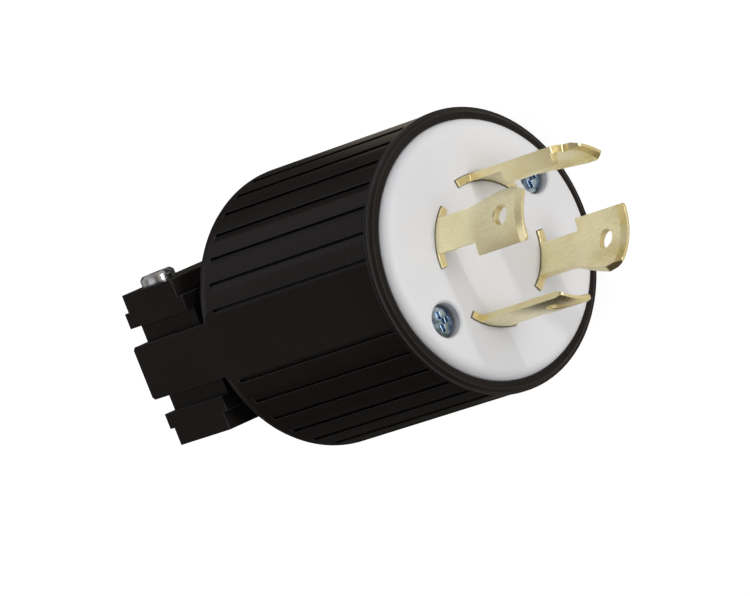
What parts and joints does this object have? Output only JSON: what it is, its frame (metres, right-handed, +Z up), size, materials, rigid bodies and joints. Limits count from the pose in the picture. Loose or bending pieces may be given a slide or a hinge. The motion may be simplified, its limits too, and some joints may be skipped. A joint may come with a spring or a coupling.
{
  "type": "locking plug",
  "caption": "Ribbed round locking plug with curved brass blades on a pale face and a screw-down cord clamp between two arms at the rear.",
  "frame": {"origin": "centre of the flat mating face, on the plug's axis", "axes": "+X along the axis towards the blade tips, +Z up through one flat side panel with the plug lying on the other one, the cord clamp closes along Y"},
  "size_m": [0.1105, 0.0572, 0.0572],
  "materials": {
    "black_nylon": "semi-gloss moulded black nylon",
    "white_nylon": "satin moulded pale nylon",
    "terminal_plastic": "moulded ivory insulator",
    "blade_brass": "stamped solid brass, lightly brushed",
    "brass_screw": "brass-coloured screw",
    "nickel_screw": "nickel-coloured screw",
    "green_screw": "green-dyed screw",
    "plated_steel": "plated steel",
    "zinc_screw": "bright zinc plating with a blue tint"
  },
  "bodies": {
    "housing": {"body_shell": "black_nylon", "face_plate": "white_nylon", "terminal_block": "terminal_plastic", "hot_blade_x": "blade_brass", "hot_blade_y": "blade_brass", "neutral_blade": "blade_brass", "ground_blade": "blade_brass", "hot_x_terminal_screw": "brass_screw", "hot_y_terminal_screw": "brass_screw", "neutral_terminal_screw": "nickel_screw", "ground_terminal_screw": "green_screw", "hot_x_pressure_plate": "plated_steel", "hot_y_pressure_plate": "plated_steel", "neutral_pressure_plate": "plated_steel", "ground_pressure_plate": "plated_steel", "face_screws": "zinc_screw"},
    "upper_clamp": {"upper_jaw": "black_nylon", "clamp_screws": "zinc_screw"},
    "lower_clamp": {"lower_jaw": "black_nylon", "clamp_nuts": "zinc_screw"}
  },
  "joints": [
    {"name": "upper_jaw_slide", "type": "slide", "parent": "housing", "child": "upper_clamp", "axis": [0, -1, 0], "range_m": [0, 0.0028]},
    {"name": "lower_jaw_slide", "type": "slide", "parent": "housing", "child": "lower_clamp", "axis": [0, 1, 0], "range_m": [0, 0.0028]}
  ],
  "couplings": [
    {"joint": "lower_jaw_slide", "follows": "upper_jaw_slide", "ratio": 1}
  ]
}
